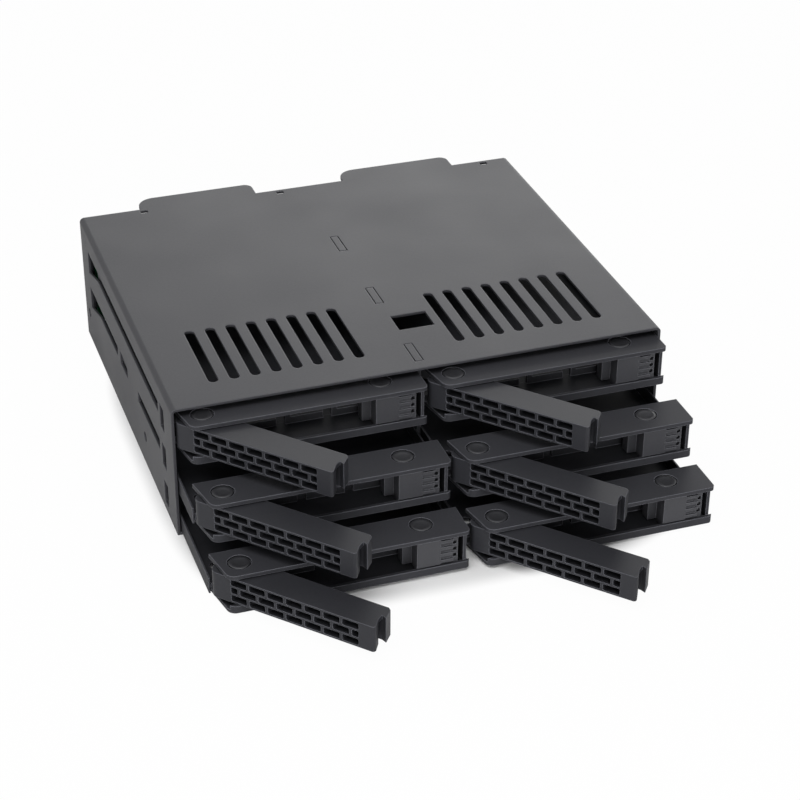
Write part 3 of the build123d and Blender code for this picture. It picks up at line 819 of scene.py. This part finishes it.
@dataclass
class Tray:
    """One drive tray with its lever, latch, screws and spring."""

    row: Row
    column: Column
    screw: TurnedScrew = field(default_factory=TurnedScrew)
    spring: LatchSpring = field(default_factory=LatchSpring)

    @property
    def name(self) -> str:
        """Start of the tray's node names, which is also its body's name."""
        return f"tray_{self.row.word}_{self.column.word}"

    def dress(self, nodes: dict, palette: Palette) -> None:
        """Paints the carried over pieces.

        Args:
            nodes: the frame's nodes.
            palette: the materials.
        """
        palette.paint(nodes[self.name + "_frame"], TRAY_PLASTIC)
        palette.paint(nodes[self.name + "_cover"], TRAY_PLASTIC)
        palette.paint(nodes[self.name + "_lever"], LEVER_PLASTIC)
        palette.paint(nodes[self.name + "_latch"], LATCH_PLASTIC)

    def build(self, palette: Palette) -> None:
        """Makes the turned screws and the spring in place of their plain solids.

        Args:
            palette: the materials.
        """
        low, high = (np.array(corner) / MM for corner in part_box(self.name + "_screws"))
        head = self.screw.head_radius
        pivot = self.screw.surface(low[0] + head, low[1] + head, low[2])
        far = self.screw.surface(high[0] - head, high[1] - head, low[2])
        screws = mesh_object(self.name + "_turned_screws", *joined([pivot, far]))
        palette.paint(screws, SCREW_BLACK)
        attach(screws, self.name)
        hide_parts(self.name + "_screws")
        low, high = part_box(self.name + "_latch_spring")
        points, faces = self.spring.surface(np.array(low), np.array(high))
        spring = mesh_object(self.name + "_formed_spring", points, faces)
        palette.paint(spring, SPRING_WIRE)
        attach(spring, self.name)
        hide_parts(self.name + "_latch_spring")
        LOG.info("%s: screws and spring made, four pieces painted", self.name)


@dataclass
class Housing:
    """The folded shell, base, divider and rear panel, with their rivets."""

    painted: tuple[str, ...] = (
        "housing_shell",
        "base_plate",
        "centre_divider",
        "rear_panel",
        "side_rivets",
    )

    def dress(self, nodes: dict, palette: Palette) -> None:
        """Paints the housing's sheet metal and its rivets.

        Args:
            nodes: the frame's nodes.
            palette: the materials.
        """
        for name in self.painted:
            palette.paint(nodes[name], HOUSING_PAINT)
        LOG.info("housing: %d pieces painted", len(self.painted))


@dataclass
class Backplane:
    """Board with drive connectors, sockets, spacers and screws; sizes in millimetres."""

    contact_count: int = 22
    contact_width: float = 0.7
    contact_length: float = 3.6
    contact_thickness: float = 0.16
    contact_margin: float = 3.4
    contact_inset: float = 0.3
    contact_end_share: float = 0.2
    tongue_half: float = 0.65
    steps: int = 7

    def dress(self, nodes: dict, palette: Palette) -> None:
        """Paints the board and what stands on it.

        Args:
            nodes: the frame's nodes.
            palette: the materials.
        """
        palette.paint(nodes["backplane_board"], BoardFinish())
        for name in ("board_spacers", "board_screws"):
            palette.paint(nodes[name], ZINC)
        for column in Column:
            palette.paint(nodes["data_sockets_" + column.word], CONNECTOR_BLACK)
            palette.paint(nodes["power_socket_" + column.word], CONNECTOR_BLACK)
            for row in Row:
                palette.paint(nodes[f"drive_connector_{row.word}_{column.word}"], CONNECTOR_BLACK)
        LOG.info("backplane: board, connectors and sockets painted")

    def build(self, palette: Palette) -> None:
        """Makes one row of contacts in each drive connector.

        Args:
            palette: the materials.
        """
        for column in Column:
            for row in Row:
                word = f"{row.word}_{column.word}"
                points, faces = self.contacts(*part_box("drive_connector_" + word))
                piece = mesh_object("drive_contacts_" + word, points, faces)
                palette.paint(piece, GOLD)
                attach(piece, "housing")
        LOG.info("backplane: contacts made")

    def contacts(self, low: Vector, high: Vector) -> tuple[Points, np.ndarray]:
        """Contact strips on the tongue: each is bowed up by a half sine along its length.

        At a share t of the length its height is thickness * (end_share + sin(pi t)).

        Args:
            low: lowest corner of the connector, in metres.
            high: highest corner.

        Returns:
            Points of all the contacts, and faces, which look into them.
        """
        margin = self.contact_margin * MM
        centres = np.linspace(low[0] + margin, high[0] - margin, self.contact_count)
        middle_z = (low[2] + high[2]) / 2 + self.tongue_half * MM
        along = np.linspace(0.0, 1.0, self.steps)
        y = low[1] + (self.contact_inset + along * self.contact_length) * MM
        bow = self.contact_end_share + np.sin(along * math.pi)
        lift = middle_z + self.contact_thickness * MM * bow
        half = self.contact_width * MM / 2
        across = np.array([-half, half])
        parts = []
        for centre in centres:
            x = np.broadcast_to(centre + across[None, :], (self.steps, 2))
            depth = np.broadcast_to(y[:, None], (self.steps, 2))
            top = np.stack([x, depth, np.broadcast_to(lift[:, None], (self.steps, 2))], -1)
            under = np.stack([x, depth, np.full((self.steps, 2), middle_z)], -1)
            parts.append(closed_sheet(top[:, ::-1], under[:, ::-1]))
        return joined(parts)


@dataclass
class Fan:
    """One fan: moulded frame and a rotor with swept blades; sizes in millimetres."""

    side: Column
    hub_radius: float = 7.6
    hub_rim_width: float = 1.0
    hub_rim_depth: float = 0.9
    hub_turn_inset: float = 0.3
    hub_turn_depth: float = 0.2
    hub_past_blades: float = 0.6
    hub_steps: int = 56
    axle_radius: float = 1.0
    tip_radius: float = 15.9
    blades: int = 7
    root_inset: float = 0.4
    root_pitch: float = 50.0
    tip_pitch: float = 30.0
    blade_gap: float = 0.3
    blade_depth: float = 4.4
    thickness: float = 0.7
    camber: float = 0.6
    sweep: float = 0.35
    across: int = 11
    along: int = 9

    def dress(self, nodes: dict, palette: Palette) -> None:
        """Paints the frame of the fan.

        Args:
            nodes: the frame's nodes.
            palette: the materials.
        """
        palette.paint(nodes["fan_frame_" + self.side.word], FAN_BLACK)

    def build(self, palette: Palette) -> None:
        """Makes the rotor in place of its plain solid.

        Args:
            palette: the materials.
        """
        low, high = (np.array(corner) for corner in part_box("fan_frame_" + self.side.word))
        rotor_low, rotor_high = (np.array(corner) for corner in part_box("fan_rotor_" + self.side.word))
        centre = np.array([(low[0] + high[0]) / 2, rotor_low[1], (low[2] + high[2]) / 2])
        parts = [self._hub(rotor_high[1] - rotor_low[1])]
        parts += [self._blade(number) for number in range(self.blades)]
        points, faces = joined(parts)
        rotor = mesh_object("fan_swept_rotor_" + self.side.word, points + centre, faces)
        palette.paint(rotor, FAN_BLACK)
        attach(rotor, "fan_" + self.side.word)
        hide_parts("fan_rotor_" + self.side.word)
        LOG.info("fan %s: rotor made", self.side.word)

    def _hub(self, depth: float) -> tuple[Points, np.ndarray]:
        """Hub and axle as one turned surface about Y, with a rounded rim round the hub's face.

        Args:
            depth: whole depth from the hub's face to the axle's end, in metres.

        Returns:
            Points and faces.
        """
        back = self.blade_depth + self.hub_past_blades
        end = depth / MM
        profile = np.array(
            [
                (0.0, 0.0),
                (self.hub_radius - self.hub_rim_width, 0.0),
                (self.hub_radius - self.hub_turn_inset, self.hub_turn_depth),
                (self.hub_radius, self.hub_rim_depth),
                (self.hub_radius, back),
                (self.axle_radius, back),
                (self.axle_radius, end),
                (0.0, end),
            ]
        )
        points, faces = turned(profile * MM, self.hub_steps)
        return points[:, [1, 2, 0]], faces

    def _blade(self, number: int) -> tuple[Points, np.ndarray]:
        """One blade: its chord leans by the pitch, which falls from root to tip, and it sweeps forward.

        At radius r and a share c of the chord, from -1/2 to 1/2, the arc is c * depth / tan(pitch), plus
        camber * sin(pi (c + 1/2)). The angle is arc / r plus sweep times the squared share of the span.

        Args:
            number: which blade.

        Returns:
            Points in metres, and faces.
        """
        radius = np.linspace(self.hub_radius - self.root_inset, self.tip_radius, self.along)[:, None]
        part = (radius - self.hub_radius) / (self.tip_radius - self.hub_radius)
        chord = np.linspace(-0.5, 0.5, self.across)[None, :]
        pitch = np.radians(self.root_pitch + (self.tip_pitch - self.root_pitch) * part)
        depth = (chord + 0.5) * self.blade_depth + self.blade_gap
        bulge = self.camber * np.sin((chord + 0.5) * math.pi)
        arc = chord * self.blade_depth / np.tan(pitch) + bulge
        angle = number * TAU / self.blades + self.sweep * part**2 + arc / radius
        shift = self.thickness / 2 / radius
        sides = []
        for sign in (1.0, -1.0):
            turn = angle + sign * shift
            flat = np.broadcast_arrays(radius * np.cos(turn), depth, radius * np.sin(turn))
            sides.append(np.stack(flat, -1) * MM)
        return closed_sheet(sides[1], sides[0])


# Studio


@dataclass(frozen=True)
class Lamp:
    """A square soft lamp: where it stands, what it points at, its power in watts and its side in metres."""

    name: str
    place: Place
    target: Place
    power: float
    side: float = 0.8


@dataclass
class Studio:
    """Floor, backdrop, lamps and camera: metres and degrees, with the lens and the sensor in millimetres."""

    camera_place: Place = (-0.172733, -0.541567, 0.342006)
    azimuth: float = -19.0315
    elevation: float = 31.4045
    roll: float = 0.2953
    lens: float = 94.86
    sensor: float = 36.0
    nearest: float = 0.01
    floor_level: float = 0.0
    floor_reach: float = 6.0
    floor_colour: Colour = (0.85, 0.85, 0.85)
    floor_roughness: float = 0.9
    floor_glow: float = 0.97
    covered_width: float = 0.073
    covered_length: float = 0.082
    covered_middle: float = -0.025
    covered_span: Span = (0.9, 1.3)
    fill: float = 0.26
    lamps: tuple[Lamp, ...] = (
        Lamp("key_lamp", (-0.28, -0.38, 0.95), (0.0, -0.03, 0.0), 6.5),
        Lamp("back_lamp", (0.50, 1.10, 0.39), (0.0, 0.05, 0.03), 3.9),
        Lamp("front_lamp", (-0.22, -1.15, 0.18), (0.0, -0.05, 0.0), 12.0),
    )

    def build(self) -> None:
        """Makes the floor, the world, the lamps and the camera."""
        self._floor()
        self._world()
        for lamp in self.lamps:
            self._light(lamp)
        self._camera()
        LOG.info("studio: floor, lamps and camera ready")

    def _floor(self) -> None:
        """Large plain floor that the camera sees nearly white, with the shadow kept."""
        signs = ((-1, -1), (1, -1), (1, 1), (-1, 1))
        corners = np.array([(x * self.floor_reach, y * self.floor_reach, self.floor_level) for x, y in signs])
        floor = mesh_object("studio_floor", corners, np.array([[0, 1, 2, 3]]), False)
        paint = Paint("studio_white")
        paint.set("Base Color", (*self.floor_colour, 1.0))
        paint.set("Roughness", self.floor_roughness)
        paint.set("Specular IOR Level", 0.0)
        white = paint.node("ShaderNodeEmission", None, {"Color": WHITE, "Strength": 1.0})
        seen = paint.glimpse("Is Camera Ray") * self._uncovered(paint) * self.floor_glow
        paint.show(paint.node("ShaderNodeMixShader", None, {0: seen, 1: paint.surface, 2: white}))
        floor.data.materials.append(paint.material)

    def _uncovered(self, paint: Paint) -> Wire:
        """Mask of the floor that the object leaves bare.

        It is (x / width)^4 + ((y - middle) / length)^4, with a smooth step near 1.

        Args:
            paint: the floor's graph.

        Returns:
            A wire that is 0 under the object and 1 around it.
        """
        here = paint.place()
        right = paint.node("ShaderNodeSeparateXYZ", None, {"Vector": here}, "X")
        back = paint.node("ShaderNodeSeparateXYZ", None, {"Vector": here}, "Y") - self.covered_middle
        across = right * (1.0 / self.covered_width)
        along = back * (1.0 / self.covered_length)
        spread = across * across * across * across + along * along * along * along
        return spread.ramp(*self.covered_span)

    def _world(self) -> None:
        """White backdrop for the camera and for reflections, and a softer white fill on everything else."""
        world = bpy.data.worlds.new("studio_world")
        graph = Graph(world, "ShaderNodeOutputWorld")
        seen = graph.glimpse("Is Camera Ray", "Is Glossy Ray", "Is Transmission Ray")
        strength = self.fill + (1.0 - self.fill) * seen
        graph.show(graph.node("ShaderNodeBackground", None, {"Color": WHITE, "Strength": strength}))
        bpy.context.scene.world = world

    def _light(self, lamp: Lamp) -> None:
        """Adds one lamp.

        Args:
            lamp: the lamp's place and power.
        """
        light = bpy.data.lights.new(lamp.name, "AREA")
        light.size = lamp.side
        light.energy = lamp.power
        stand = bpy.data.objects.new(lamp.name, light)
        bpy.context.scene.collection.objects.link(stand)
        aim = np.array(lamp.target) - np.array(lamp.place)
        stand.matrix_world = self._looking(lamp.place, aim, 0.0)

    def _looking(self, place: Place, aim: Points, roll: float) -> Matrix:
        """Matrix of something that looks along a direction with its top up.

        Args:
            place: where it stands.
            aim: direction that it looks along.
            roll: turn about that direction, in degrees.

        Returns:
            The matrix, whose columns are right, up and back.
        """
        ahead = aim / np.linalg.norm(aim)
        right = np.cross(ahead, np.array([0.0, 0.0, 1.0]))
        right /= np.linalg.norm(right)
        top = np.cross(right, ahead)
        turn = math.radians(roll)
        side = right * math.cos(turn) + top * math.sin(turn)
        upward = top * math.cos(turn) - right * math.sin(turn)
        matrix = np.eye(4)
        matrix[:3, 0] = side
        matrix[:3, 1] = upward
        matrix[:3, 2] = -ahead
        matrix[:3, 3] = place
        return Matrix(matrix.tolist())

    def _camera(self) -> None:
        """Camera at the photograph's place and angle."""
        data = bpy.data.cameras.new("photo_camera")
        data.sensor_width = self.sensor
        data.lens = self.lens
        data.clip_start = self.nearest
        camera = bpy.data.objects.new("photo_camera", data)
        bpy.context.scene.collection.objects.link(camera)
        around = math.radians(self.azimuth)
        above = math.radians(self.elevation)
        level = math.cos(above)
        back = np.array([math.sin(around) * level, -math.cos(around) * level, math.sin(above)])
        camera.matrix_world = self._looking(self.camera_place, -back, self.roll)
        bpy.context.scene.camera = camera


def main() -> None:
    """Dresses the cage piece by piece."""
    logging.basicConfig(level=logging.INFO, format="%(name)s: %(message)s")
    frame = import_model()
    bpy.context.scene.view_settings.view_transform = "Standard"
    palette = Palette()
    nodes = frame["nodes"]
    Housing().dress(nodes, palette)
    backplane = Backplane()
    backplane.dress(nodes, palette)
    backplane.build(palette)
    for side in Column:
        fan = Fan(side)
        fan.dress(nodes, palette)
        fan.build(palette)
    palette.paint(nodes["fan_screws"], SCREW_BLACK)
    for row in Row:
        for column in Column:
            tray = Tray(row, column)
            tray.dress(nodes, palette)
            tray.build(palette)
    Studio().build()


if __name__ == "__main__":
    main()
